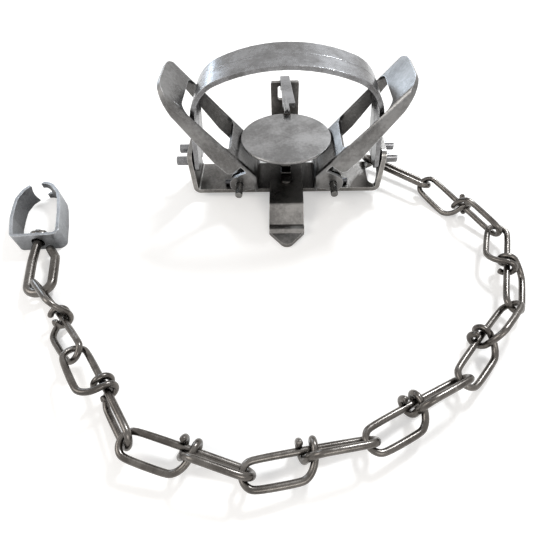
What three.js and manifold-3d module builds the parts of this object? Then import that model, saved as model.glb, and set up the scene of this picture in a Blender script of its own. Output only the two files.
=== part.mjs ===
// A small double coil spring trap, sprung and closed, with its chain and swivel end.
// Millimetres, +X to the chain side, +Y to the dog post, +Z up.
// The origin is the middle of the base plate's underside.

import * as THREE from 'three';
import { mergeVertices } from 'three/addons/utils/BufferGeometryUtils.js';
import Module from 'manifold-3d';

const wasm = await Module();
wasm.setup();

// Clearances and facets
const seatGap = 0.3;
const pinPlay = 0.3;
const overrun = 4;
const leastStep = 0.01;
const facetTurn = THREE.MathUtils.degToRad(15);
const rodSides = 20;
const wireSides = 6;
const springSides = 5;
const springSteps = 8;

// Base plate
const baseWidth = 24.2;
const baseThickness = 2.6;
const postSpan = 109.4;
const postTop = 25.8;
const postCorner = 4;
const baseBend = 2.6;
const chainHoleFront = 9;
const chainHoleRear = 9.5;
const chainHoleReach = 6;
const chainHoleTop = 11;
const chainHoleCorner = 4;

// Cross strap, whose front end is the foot and whose rear end is the dog post
const strapWidth = 19.2;
const strapThickness = 2.5;
const strapDrop = 3.4;
const strapBend = 3;
const strapRear = 71.25;
const strapRearRamp = 28;
const strapRearRampTop = 17;
const strapFrontRampTop = 27.5;
const strapFrontRamp = 38;
const footRibPlace = 41.5;
const footRibHalf = 1.8;
const footRibRise = 1.2;
const footShoulder = 43.4;
const footTip = 53.2;
const footTipRadius = 4;
const dogPostTop = 24.8;
const dogPostCorner = 1.2;
const dogSlotHalf = 4.8;
const dogSlotBottom = 12.6;
const dogSlotTop = 22.3;
const dogSlotCorner = 1.6;

// Rivets through strap and base
const rivetPlace = 8;
const rivetShank = 2.2;
const rivetHead = 3.6;
const rivetHeadHeight = 1.1;
const rivetSink = 0.1;

// Jaws
const jawWidth = 11.8;
const jawThickness = 2.4;
const jawCrown = 73.4;
const jawArcRadius = 90;
const jawShoulderInset = 20.7;
const jawCornerRadius = 23.4;
const jawHingePlace = 5.7;
const jawHingeHeight = 18.6;
const jawLug = 4.6;
const jawStub = 2.5;
const jawStubReach = 7.4;

// Levers, in a frame at the spring pin with x outwards along the lever
const pinInset = 28.2;
const pinHeight = 9.9;
const pinRadius = 2;
const pinFront = 26;
const pinRear = 17.3;
const pinHeadRadius = 3.25;
const pinHeadHeight = 1.6;
const leverRise = THREE.MathUtils.degToRad(50.65);
const leverSheet = 1.8;
const leverTop = 10.5;
const leverHalf = 17;
const leverLength = 64.6;
const leverCorner = 9.5;
const leverEdgeRound = 3.2;
const windowStart = 18;
const paddleLength = 13.6;
const windowHalf = 15;
const windowCorner = 5;
const railStart = 8.2;
const railDeepEnd = 20;
const flareLength = 12.6;
const railShallowDepth = 6.2;
const railTipDepth = 2.1;
const hoodWallDepth = 5.6;
const hoodCorner = 3.5;
const earRadius = 5.6;
const earShoulder = 3.6;
const earWallDrop = 3;
const baseEarRadius = 5.2;

// Coil springs
const springWire = 3.1;
const springMean = 4.2;
const springPitch = 3.5;
const springTurns = 4;
const springBaseLeg = 9.5;
const springLeverLeg = 16;
const springLeverLift = 6.7;

// Pan with its shank, post and pin
const panInset = 0.9;
const panThickness = 2;
const panChamfer = 0.9;
const panMiddle = 3.6;
const panTop = 27.2;
const panTilt = 0.05;
const panNotchWidth = 4.4;
const panNotchOffset = 0.9;
const panNotchLength = 8;
const panNotchDepth = 1.2;
const panPinPlace = 3;
const panPinHeight = 12.4;
const panPinRadius = 1.4;
const shankHalf = 5.2;
const shankSheet = 1.8;
const shankEarRadius = 3.4;
const shankRear = 10;
const shankFront = 8;
const panPostHalf = 3;
const panPostTop = 15.6;
const panPostSheet = 2;
const panPostFoot = 7;
const panPostBend = 2.6;

// Dog
const dogHinge = 23.6;
const dogEyeInner = 2.4;
const dogEyeSheet = 2;
const dogEyeOpen = THREE.MathUtils.degToRad(70);
const dogRearHalf = 3.1;
const dogMidHalf = 3.8;
const dogMidPlace = 36;
const dogTabWidth = 3.1;
const dogTabInset = 0.5;
const dogTipPlace = 27.8;
const dogTipLift = 0.5;
const dogFlank = 1.3;
const dogFlankDepth = 2.2;
const dogRibWidth = 1.1;
const dogRibHeight = 0.7;
const dogRibEnd = 46;
const dogYaw = THREE.MathUtils.degToRad(3.8);

// Connector, a long wire ring through the chain hole
const connectorWire = 3.1;
const connectorWidth = 8.8;
const connectorInset = 5.2;
const connectorRise = 4.6;
const connectorRoll = THREE.MathUtils.degToRad(-25);

// Chain of eight double loop links
const chainWire = 3;
const chainPitch = 46.35;
const chainPlay = 0.8;
const jointPlays = [1.1, 0.8, 0.3, 0.5, 0.6, 0.8, 1.1, 1.1, 1.1];
const loopWidth = 10;
const loopShoulder = 7;
const knotRadius = 3.45;
const knotOffset = 1.95;
const knotLean = 1.1;
const knotTail = 1.4;
const knotSweep = THREE.MathUtils.degToRad(222);
const chainStartOut = 81.2;
const chainStartFront = 11.4;
const jointHeights = [7, 7.5, 7.5, 7.5, 7.5, 7.5, 8.3, 8.6, 6.2];
const linkHeadings = [-53.8, -99.7, -132.3, -149.8, -166.5, -193.5, -227.9, -229.8];
const linkRolls = [
  [219, 111],
  [180, -28],
  [56, -18],
  [69, 0],
  [69, 0],
  [69, 0],
  [-62, 22],
  [-31, 88],
];

// Swivel eye and its upset head
const eyeWire = 4.8;
const eyeWidth = 11.6;
const eyeNeck = 11.8;
const eyeTaper = 4.2;
const eyeLean = THREE.MathUtils.degToRad(11);
const eyeHeading = THREE.MathUtils.degToRad(93.5);
const eyeLift = 5.9;
const stemReach = 30.6;
const stemOffset = 10.4;
const stemStraight = 3.4;
const tailGap = 3.2;
const headRadius = 5.4;
const headHeight = 4.4;

// Swivel bracket, a strip on edge; its wings' bends as shares of the reach and of half the web
const bracketHeight = 11.3;
const bracketSheet = 1.8;
const bracketWeb = 24.2;
const bracketReach = 42;
const bracketBend = 2.6;
const bracketHoleRadius = 3.3;
const rightWingShares = [[1, 0.79], [1, 0.5], [0.955, 0.19], [0.8, -0.24], [0.67, -0.42], [0.385, -0.7]];
const leftWingShares = [[0.33, 1.38], [0.52, 1.5], [0.7, 1.58], [0.86, 1.45], [0.95, 1.22]];
const wingNotchRadius = 2.3;
const wingNotchDepth = 4.6;
const wingHollowRadius = 11;
const wingHollowDepth = 1;

// Finishes
const steel = new THREE.MeshStandardMaterial({ color: 0x9b9893, roughness: 0.42, metalness: 0.9 });
const brightSteel = new THREE.MeshStandardMaterial({ color: 0xa9a8a6, roughness: 0.34, metalness: 0.9 });
const chainSteel = new THREE.MeshStandardMaterial({ color: 0x69645f, roughness: 0.36, metalness: 0.9 });
const springSteel = new THREE.MeshStandardMaterial({ color: 0x7c7873, roughness: 0.4, metalness: 0.9 });
const zincSteel = new THREE.MeshStandardMaterial({ color: 0xb3b3b1, roughness: 0.55, metalness: 0.8 });

const floorLevel = -strapDrop;
const windowEnd = leverLength - paddleLength;
const railFlareStart = leverLength - flareLength;
const postOuter = postSpan / 2;
const jawShoulder = postOuter - jawShoulderInset;
const jawStubTip = postOuter + jawStubReach;
const pinPlace = postOuter - pinInset;
const panRadius = pinPlace - panInset;
const postInner = postOuter - baseThickness;

// Outlines in a plane
const at = (u, v) => new THREE.Vector2(u, v);

function cornerArc(before, corner, after, radius) {
  const back = before.clone().sub(corner).normalize();
  const ahead = after.clone().sub(corner).normalize();
  const half = Math.acos(THREE.MathUtils.clamp(back.dot(ahead), -1, 1)) / 2;
  if (radius <= 0 || Math.PI - 2 * half < facetTurn / 4) {
    return [corner.clone()];
  }
  const start = corner.clone().addScaledVector(back, radius / Math.tan(half));
  const middle = back.clone().add(ahead).normalize();
  const centre = corner.clone().addScaledVector(middle, radius / Math.sin(half));
  const turn = Math.PI - 2 * half;
  const side = Math.sign(ahead.cross(back));
  const count = Math.max(1, Math.ceil(turn / facetTurn));
  const points = [];
  for (let i = 0; i <= count; i += 1) {
    points.push(start.clone().rotateAround(centre, (side * turn * i) / count));
  }
  return points;
}

function roundedOutline(corners, radii) {
  const count = corners.length;
  return corners.flatMap((corner, i) => {
    const before = corners[(i + count - 1) % count];
    const after = corners[(i + 1) % count];
    return cornerArc(before, corner, after, Array.isArray(radii) ? radii[i] : radii);
  });
}

function roundedLine(points, radii) {
  const last = points.length - 1;
  return points.flatMap((point, i) => {
    if (i === 0 || i === last) {
      return [point.clone()];
    }
    return cornerArc(points[i - 1], point, points[i + 1], Array.isArray(radii) ? radii[i] : radii);
  });
}

function offsetLine(line, distance) {
  const last = line.length - 1;
  return line.map((point, i) => {
    const back = line[Math.max(i - 1, 0)];
    const ahead = line[Math.min(i + 1, last)];
    const first = point.clone().sub(back).normalize();
    const second = ahead.clone().sub(point).normalize();
    const along = first.add(second).normalize();
    const from = i === 0 ? second : point.clone().sub(back).normalize();
    const mitre = Math.max(along.dot(from), 0.5);
    return at(point.x - (along.y * distance) / mitre, point.y + (along.x * distance) / mitre);
  });
}

function stripOutline(line, left, right) {
  return [...offsetLine(line, left), ...offsetLine(line, -right).reverse()];
}

function circleOutline(u, v, radius, sides = rodSides) {
  const points = [];
  for (let i = 0; i < sides; i += 1) {
    const turn = (2 * Math.PI * (i + 0.5)) / sides;
    points.push(at(u + radius * Math.cos(turn), v + radius * Math.sin(turn)));
  }
  return points;
}

function boxOutline(left, bottom, right, top, radii = 0) {
  return roundedOutline([at(left, bottom), at(right, bottom), at(right, top), at(left, top)], radii);
}

// Solids and their joins
function solidOf(geometry) {
  const plain = geometry.clone();
  plain.deleteAttribute('normal');
  plain.deleteAttribute('uv');
  const merged = mergeVertices(plain);
  return new wasm.Manifold(new wasm.Mesh({
    numProp: 3,
    vertProperties: new Float32Array(merged.attributes.position.array),
    triVerts: new Uint32Array(merged.index.array),
  }));
}

function geometryOf(solid) {
  const mesh = solid.getMesh();
  const geometry = new THREE.BufferGeometry();
  geometry.setAttribute('position', new THREE.BufferAttribute(new Float32Array(mesh.vertProperties), 3));
  geometry.setIndex(new THREE.BufferAttribute(new Uint32Array(mesh.triVerts), 1));
  const faceted = geometry.toNonIndexed();
  faceted.computeVertexNormals();
  return faceted;
}

function prism(outline, depth, matrix, turn = new THREE.Matrix4()) {
  const count = outline.length;
  const distinct = outline.filter((point, i) => point.distanceTo(outline[(i + 1) % count]) > leastStep);
  const geometry = new THREE.ExtrudeGeometry(new THREE.Shape(distinct), {
    depth,
    bevelEnabled: false,
    steps: 1,
  });
  return solidOf(geometry.applyMatrix4(matrix).applyMatrix4(turn));
}

// An outline of (y, z) points, from one x to another
function alongX(outline, from, to) {
  const matrix = new THREE.Matrix4().makeBasis(
    new THREE.Vector3(0, 1, 0),
    new THREE.Vector3(0, 0, 1),
    new THREE.Vector3(1, 0, 0),
  );
  return prism(outline, to - from, matrix.setPosition(from, 0, 0));
}

// An outline of (x, z) points, from one y to another
function alongY(outline, from, to) {
  const matrix = new THREE.Matrix4().makeBasis(
    new THREE.Vector3(1, 0, 0),
    new THREE.Vector3(0, 0, 1),
    new THREE.Vector3(0, -1, 0),
  );
  return prism(outline, to - from, matrix.setPosition(0, to, 0));
}

// An outline of (x, y) points, from one z to another
function alongZ(outline, from, to, turn) {
  return prism(outline, to - from, new THREE.Matrix4().setPosition(0, 0, from), turn);
}

function joined(solids) {
  return solids.reduce((whole, solid) => whole.add(solid));
}

function cut(solid, tools) {
  return tools.reduce((rest, tool) => rest.subtract(tool), solid);
}

// A wire along a line of points, as one closed mesh; a ring joins its own end
function wireGeometry(points, radius, sides, ring = false) {
  const count = points.length;
  const tangents = points.map((point, i) => {
    const back = ring ? points[(i + count - 1) % count] : points[Math.max(i - 1, 0)];
    const ahead = ring ? points[(i + 1) % count] : points[Math.min(i + 1, count - 1)];
    return ahead.clone().sub(back).normalize();
  });
  const start = Math.abs(tangents[0].z) < 0.9 ? new THREE.Vector3(0, 0, 1) : new THREE.Vector3(1, 0, 0);
  const normals = [start.clone().addScaledVector(tangents[0], -start.dot(tangents[0])).normalize()];
  for (let i = 1; i < count; i += 1) {
    const normal = normals[i - 1].clone();
    normals.push(normal.addScaledVector(tangents[i], -normal.dot(tangents[i])).normalize());
  }
  const positions = [];
  points.forEach((point, i) => {
    const side = tangents[i].clone().cross(normals[i]);
    for (let k = 0; k < sides; k += 1) {
      const turn = (2 * Math.PI * k) / sides;
      const spot = point.clone()
        .addScaledVector(normals[i], radius * Math.cos(turn))
        .addScaledVector(side, radius * Math.sin(turn));
      positions.push(spot.x, spot.y, spot.z);
    }
  });
  const faces = [];
  const spans = ring ? count : count - 1;
  for (let i = 0; i < spans; i += 1) {
    for (let k = 0; k < sides; k += 1) {
      const a = i * sides + k;
      const b = i * sides + ((k + 1) % sides);
      const c = ((i + 1) % count) * sides + ((k + 1) % sides);
      const d = ((i + 1) % count) * sides + k;
      faces.push(a, b, c, a, c, d);
    }
  }
  if (!ring) {
    for (let k = 1; k < sides - 1; k += 1) {
      const end = (count - 1) * sides;
      faces.push(0, k + 1, k, end, end + k, end + k + 1);
    }
  }
  const geometry = new THREE.BufferGeometry();
  geometry.setAttribute('position', new THREE.BufferAttribute(new Float32Array(positions), 3));
  geometry.setIndex(faces);
  return geometry;
}

// The least gap between stretches of one wire that lie further apart along it than they are wide
function leastGap(points, wire) {
  const fine = [];
  for (let i = 0; i + 1 < points.length; i += 1) {
    for (let k = 0; k < 6; k += 1) {
      fine.push(points[i].clone().lerp(points[i + 1], k / 6));
    }
  }
  const travelled = [0];
  for (let i = 1; i < fine.length; i += 1) {
    travelled.push(travelled[i - 1] + fine[i].distanceTo(fine[i - 1]));
  }
  let least = Infinity;
  for (let i = 0; i < fine.length; i += 1) {
    for (let k = i + 1; k < fine.length; k += 1) {
      if (travelled[k] - travelled[i] > 3 * wire) {
        least = Math.min(least, fine[i].distanceTo(fine[k]) - wire);
      }
    }
  }
  return least;
}

const trap = new THREE.Group();

function addMesh(name, geometry, material, parent = trap) {
  const mesh = new THREE.Mesh(geometry, material);
  mesh.name = name;
  parent.add(mesh);
  return mesh;
}

// Base plate with its posts, pin ears and chain hole
function basePlate() {
  const middle = baseThickness / 2;
  const line = roundedLine([
    at(middle - postOuter, postTop),
    at(middle - postOuter, middle),
    at(postOuter - middle, middle),
    at(postOuter - middle, postTop),
  ], baseBend);
  const half = baseWidth / 2;
  const strip = alongY(stripOutline(line, middle, middle), -half, half);
  const side = boxOutline(-half, -overrun, half, postTop, [0, 0, postCorner, postCorner]);
  const body = strip.intersect(alongX(side, -postOuter - overrun, postOuter + overrun));
  const ears = [];
  const holes = [];
  for (const hand of [-1, 1]) {
    const place = hand * pinPlace;
    for (const front of [-1, 1]) {
      const inner = front * (half - baseThickness);
      const outer = front * half;
      const ear = joined([
        alongY(circleOutline(place, pinHeight, baseEarRadius), Math.min(inner, outer), Math.max(inner, outer)),
        alongY(
          boxOutline(place - baseEarRadius, middle, place + baseEarRadius, pinHeight),
          Math.min(inner, outer),
          Math.max(inner, outer),
        ),
      ]);
      ears.push(ear);
    }
    holes.push(alongY(circleOutline(place, pinHeight, pinRadius + pinPlay), -half - overrun, half + overrun));
  }
  for (const rear of [-1, 1]) {
    const stub = circleOutline(rear * jawHingePlace, jawHingeHeight, jawStub + pinPlay);
    holes.push(alongX(stub, -postOuter - overrun, postOuter + overrun));
    const seat = rivetSink + rivetHeadHeight + seatGap;
    holes.push(alongZ(circleOutline(0, rear * rivetPlace, rivetShank + seatGap), -overrun, overrun));
    holes.push(alongZ(circleOutline(0, rear * rivetPlace, rivetHead + seatGap), -overrun, seat));
  }
  const holePlan = boxOutline(
    postOuter - chainHoleReach,
    -chainHoleFront,
    postOuter + overrun,
    chainHoleRear,
    [chainHoleCorner, 0, 0, chainHoleCorner],
  );
  const holeSide = boxOutline(
    -chainHoleFront,
    -overrun,
    chainHoleRear,
    chainHoleTop,
    [0, 0, chainHoleCorner, chainHoleCorner],
  );
  const chainHole = alongZ(holePlan, -overrun, chainHoleTop).intersect(
    alongX(holeSide, postOuter - chainHoleReach, postOuter + overrun),
  );
  return cut(joined([body, ...ears]), [...holes, chainHole]);
}

// Cross strap from the pointed foot to the dog post
function crossStrap() {
  const middle = strapThickness / 2;
  const high = baseThickness + seatGap + middle;
  const low = floorLevel + middle;
  const line = roundedLine([
    at(strapRear - middle, dogPostTop),
    at(strapRear - middle, low),
    at(strapRearRamp, low),
    at(strapRearRampTop, high),
    at(-strapFrontRampTop, high),
    at(-strapFrontRamp, low),
    at(-footRibPlace + footRibHalf / 2, low + footRibRise),
    at(-footRibPlace - footRibHalf / 2, low + footRibRise),
    at(-footShoulder - footRibHalf / 2, low),
    at(-footTip, low),
  ], [0, strapBend, strapBend, strapBend, strapBend, strapBend / 3, strapBend / 3, strapBend / 3, strapBend / 3, 0]);
  const half = strapWidth / 2;
  const strip = alongX(stripOutline(line, middle, middle), -half, half);
  const plan = roundedOutline([
    at(-half, -footShoulder),
    at(0, -footTip - (footTip - footShoulder) / 6),
    at(half, -footShoulder),
    at(half, strapRear + overrun),
    at(-half, strapRear + overrun),
  ], [seatGap, footTipRadius, seatGap, 0, 0]);
  const front = boxOutline(-half, -overrun - strapDrop, half, dogPostTop, [0, 0, dogPostCorner, dogPostCorner]);
  const slot = boxOutline(-dogSlotHalf, dogSlotBottom, dogSlotHalf, dogSlotTop, dogSlotCorner);
  const behind = [strapRear - strapThickness - overrun, strapRear + overrun];
  const body = strip
    .intersect(alongZ(plan, floorLevel - overrun, dogPostTop + overrun))
    .intersect(alongY(front, -footTip - overrun, strapRear + overrun));
  const rivetHoles = [-1, 1].map((rear) => alongZ(
    circleOutline(0, rear * rivetPlace, rivetShank + seatGap),
    baseThickness - overrun,
    baseThickness + strapThickness + overrun,
  ));
  return cut(body, [alongY(slot, ...behind), ...rivetHoles]);
}

// A rivet with a flat head let into the base's underside and a low round one on the strap
function rivet(rear) {
  const y = rear * rivetPlace;
  const top = baseThickness + 2 * seatGap + strapThickness;
  const crown = rivetHeadHeight / 3;
  return joined([
    alongZ(circleOutline(0, y, rivetShank), rivetSink, top + rivetHeadHeight / 2),
    alongZ(circleOutline(0, y, rivetHead), rivetSink, rivetSink + rivetHeadHeight),
    alongZ(circleOutline(0, y, rivetHead), top, top + rivetHeadHeight - crown),
    alongZ(circleOutline(0, y, rivetHead - crown), top + crown, top + rivetHeadHeight),
  ]);
}

// The arch line of a jaw, offset inwards by a wall
function jawLine(inset) {
  const spread = Math.asin(jawShoulder / jawArcRadius);
  const foot = at(postInner - seatGap, jawHingeHeight - jawLug);
  const away = jawArcRadius - jawCornerRadius;
  const corner = at(away * Math.sin(spread), jawCrown - jawArcRadius + away * Math.cos(spread));
  const toFoot = foot.clone().sub(corner);
  const legTurn = toFoot.angle() - 2 * Math.PI + Math.acos(jawCornerRadius / toFoot.length());
  const right = [foot.clone().sub(at(Math.cos(legTurn) * inset, Math.sin(legTurn) * inset))];
  right[0].y = foot.y;
  const cornerSweep = Math.PI / 2 - spread - legTurn;
  const cornerSteps = 2 * Math.ceil(cornerSweep / facetTurn);
  for (let i = 0; i <= cornerSteps; i += 1) {
    const turn = legTurn + (cornerSweep * i) / cornerSteps;
    const reach = jawCornerRadius - inset;
    right.push(at(corner.x + reach * Math.cos(turn), corner.y + reach * Math.sin(turn)));
  }
  const crownSteps = 6;
  for (let i = 1; i <= crownSteps; i += 1) {
    const turn = spread * (1 - i / crownSteps);
    const reach = jawArcRadius - inset;
    right.push(at(reach * Math.sin(turn), jawCrown - jawArcRadius + reach * Math.cos(turn)));
  }
  const left = right.slice(0, -1).reverse().map((point) => at(-point.x, point.y));
  return [...right, ...left];
}

function jaw(rear) {
  const outline = [...jawLine(0), ...jawLine(jawThickness).reverse()];
  const near = seatGap / 2;
  const far = near + jawWidth;
  const bow = rear > 0 ? alongY(outline, near, far) : alongY(outline, -far, -near);
  const hinge = rear * jawHingePlace;
  const lugs = alongX(boxOutline(
    Math.min(rear * near, rear * far),
    jawHingeHeight - jawLug,
    Math.max(rear * near, rear * far),
    jawCrown,
    [jawLug, jawLug, 0, 0],
  ), -postOuter, postOuter);
  const stubs = [-1, 1].map((hand) => {
    const inner = postInner - seatGap - jawThickness / 2;
    const ends = [hand * inner, hand * jawStubTip];
    return alongX(circleOutline(hinge, jawHingeHeight, jawStub), Math.min(...ends), Math.max(...ends));
  });
  return joined([bow.intersect(lugs), ...stubs]);
}

// The right lever in its pin frame: x runs along the lever, z up through its sheet
function leverSolid() {
  const mean = leverTop - leverSheet / 2;
  const wallTurn = Math.PI / 2 - leverRise;
  const hood = [];
  const hoodSteps = Math.ceil(wallTurn / facetTurn);
  for (let i = 0; i <= hoodSteps; i += 1) {
    const turn = Math.PI / 2 + wallTurn * (1 - i / hoodSteps);
    hood.push(at(mean * Math.cos(turn), mean * Math.sin(turn)));
  }
  const down = at(-Math.sin(leverRise), -Math.cos(leverRise));
  const wallFoot = hood[0].clone().addScaledVector(down, hoodWallDepth);
  const sheetLine = [wallFoot, ...hood, at(leverLength + overrun, mean)];
  const sheet = alongY(stripOutline(sheetLine, leverSheet / 2, leverSheet / 2), -leverHalf, leverHalf);

  const plan = (inset) => roundedOutline([
    at(-leverLength, -leverHalf + inset),
    at(leverLength - inset, -leverHalf + inset),
    at(leverLength - inset, leverHalf - inset),
    at(-leverLength, leverHalf - inset),
  ], [0, leverCorner - inset, leverCorner - inset, 0]);
  const tall = [-2 * leverTop, 2 * leverTop];
  const outer = alongZ(plan(0), ...tall);
  const inner = alongZ(plan(leverSheet), ...tall);

  const railSide = roundedOutline([
    at(railStart, leverTop - leverSheet / 2),
    at(railStart, 0),
    at(railDeepEnd, 0),
    at(railFlareStart, leverTop - railShallowDepth),
    at(leverLength, leverTop - railTipDepth),
    at(leverLength + overrun, leverTop - railTipDepth),
    at(leverLength + overrun, leverTop - leverSheet / 2),
  ], [0, leverEdgeRound, leverCorner, leverCorner / 2, 0, 0, 0]);
  const rails = outer.subtract(inner).intersect(alongY(railSide, -leverHalf - overrun, leverHalf + overrun));

  const toWorld = (x, z) => at(x, z).rotateAround(at(0, 0), -leverRise);
  const earLine = [
    toWorld(-leverTop, 0),
    toWorld(-leverTop, -earWallDrop),
    toWorld(-earRadius * Math.SQRT1_2, -earRadius * Math.SQRT1_2),
    at(0, 0),
    at(earRadius * Math.cos(facetTurn), earRadius * Math.sin(facetTurn)),
    at(earShoulder, leverTop - leverSheet / 2),
    at(0, leverTop - leverSheet / 2),
    ...hood.slice(1, -1).reverse(),
  ];
  const ears = [-1, 1].map((side) => {
    const faces = [side * (leverHalf - leverSheet), side * leverHalf];
    const range = [Math.min(...faces), Math.max(...faces)];
    return joined([
      alongY(earLine, ...range),
      alongY(circleOutline(0, 0, earRadius), ...range),
    ]);
  });

  const opening = alongZ(boxOutline(windowStart, -windowHalf, windowEnd, windowHalf, windowCorner), ...tall);
  const across = boxOutline(
    -leverHalf,
    -2 * leverTop,
    leverHalf,
    leverTop,
    [0, 0, leverEdgeRound, leverEdgeRound],
  );
  const rounding = alongX(across, -leverLength, leverLength + overrun);
  const hoodPlan = roundedOutline([
    at(-leverTop, -leverHalf),
    at(leverLength * 2, -leverHalf),
    at(leverLength * 2, leverHalf),
    at(-leverTop, leverHalf),
  ], [hoodCorner, 0, 0, hoodCorner]);
  const turned = new THREE.Matrix4().makeRotationY(leverRise);
  const hoodLimit = alongZ(hoodPlan, -leverLength * 2, leverLength * 2, turned);
  const paddle = alongX(
    boxOutline(-leverHalf, -2 * leverTop, leverHalf, 2 * leverTop),
    railStart,
    leverLength + overrun,
  );

  const body = joined([sheet.intersect(outer), rails, ...ears])
    .intersect(rounding)
    .intersect(hoodLimit.add(paddle));
  const pinHole = alongY(circleOutline(0, 0, pinRadius + pinPlay), -leverHalf - overrun, leverHalf + overrun);
  return cut(body, [opening, pinHole]);
}

// A spring pin with a head at the rear and a cut front end
function springPin() {
  return joined([
    alongY(circleOutline(0, 0, pinRadius), -pinFront, pinRear + pinHeadHeight),
    alongY(circleOutline(0, 0, pinHeadRadius), pinRear, pinRear + pinHeadHeight),
  ]);
}

// The right spring's line about its pin: base leg, turns, then the leg under the lever's web
function springLine(hand) {
  const half = (springPitch * (springTurns + 0.36)) / 2;
  const start = -Math.PI / 2;
  const finish = Math.PI / 2 + leverRise - 2 * Math.PI * (springTurns + 1);
  const steps = Math.round(((start - finish) / (2 * Math.PI)) * springSteps);
  const legHeight = baseThickness + seatGap + springWire / 2 - pinHeight;
  const points = [
    new THREE.Vector3(springBaseLeg, -half, legHeight),
    new THREE.Vector3(springBaseLeg - springWire, -half, legHeight),
  ];
  for (let i = 0; i <= steps; i += 1) {
    const share = i / steps;
    const turn = start + (finish - start) * share;
    points.push(new THREE.Vector3(
      springMean * Math.cos(turn),
      -half + 2 * half * share,
      springMean * Math.sin(turn),
    ));
  }
  const onLever = (s, h) => new THREE.Vector3(
    s * Math.cos(leverRise) - h * Math.sin(leverRise),
    half,
    s * Math.sin(leverRise) + h * Math.cos(leverRise),
  );
  points.push(onLever(springLeverLeg - springWire, springLeverLift));
  points.push(onLever(springLeverLeg, springLeverLift));
  return points.map((point) => new THREE.Vector3(point.x * hand, point.y, point.z));
}

// Pan, tilted a little down to the rear, with the notch under the dog's tip
function panDisc() {
  const profile = [
    new THREE.Vector2(0, -panThickness),
    new THREE.Vector2(panRadius - panChamfer, -panThickness),
    new THREE.Vector2(panRadius, -panThickness + panChamfer),
    new THREE.Vector2(panRadius, -panChamfer / 2),
    new THREE.Vector2(panRadius - panChamfer / 2, 0),
    new THREE.Vector2(0, 0),
  ];
  const disc = new THREE.LatheGeometry(profile, 48).rotateX(Math.PI / 2);
  const notch = alongZ(boxOutline(
    panNotchOffset - panNotchWidth / 2,
    panRadius - panNotchLength,
    panNotchOffset + panNotchWidth / 2,
    panRadius + overrun,
    [panNotchWidth / 4, 0, 0, panNotchWidth / 4],
  ), -panNotchDepth, overrun);
  return solidOf(disc).subtract(notch);
}

// The strip under the pan, with two ears down to the pivot pin
function panShank() {
  const hinge = panPinPlace;
  const rise = panUnderside(hinge + shankEarRadius) - seatGap;
  const frontUnder = panUnderside(-shankFront) - seatGap;
  const rearUnder = panUnderside(shankRear) - seatGap;
  const strip = alongX([
    at(-shankFront, frontUnder - shankSheet),
    at(shankRear, rearUnder - shankSheet),
    at(shankRear, rearUnder),
    at(-shankFront, frontUnder),
  ], -shankHalf, shankHalf);
  const ears = [-1, 1].map((side) => {
    const faces = [side * (shankHalf - shankSheet), side * shankHalf];
    const range = [Math.min(...faces), Math.max(...faces)];
    return joined([
      alongX(circleOutline(hinge, panPinHeight, shankEarRadius), ...range),
      alongX(boxOutline(
        hinge - shankEarRadius,
        panPinHeight,
        hinge + shankEarRadius,
        rise - shankSheet / 2,
      ), ...range),
    ]);
  });
  const pinHole = alongX(circleOutline(hinge, panPinHeight, panPinRadius + pinPlay), -panRadius, panRadius);
  return cut(joined([strip, ...ears]), [pinHole]);
}

function panUnderside(y) {
  return panTop - panThickness / Math.cos(panTilt) - (y - panMiddle) * Math.tan(panTilt);
}

// The bent tab on the strap that carries the pan's pin
function panPost() {
  const middle = panPostSheet / 2;
  const sole = baseThickness + 2 * seatGap + strapThickness + middle;
  const line = roundedLine([
    at(panPinPlace, panPostTop),
    at(panPinPlace, sole),
    at(panPinPlace - panPostFoot, sole),
  ], panPostBend);
  const strip = alongX(stripOutline(line, middle, middle), -panPostHalf, panPostHalf);
  const boss = alongX(circleOutline(panPinPlace, panPinHeight, shankEarRadius), -panPostHalf, panPostHalf);
  const hole = alongX(circleOutline(panPinPlace, panPinHeight, panPinRadius + pinPlay), -panRadius, panRadius);
  return cut(joined([strip, boss]), [hole]);
}

function panPin() {
  const reach = shankHalf + panPinRadius / 2;
  return alongX(circleOutline(panPinPlace, panPinHeight, panPinRadius), -reach, reach);
}

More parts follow.
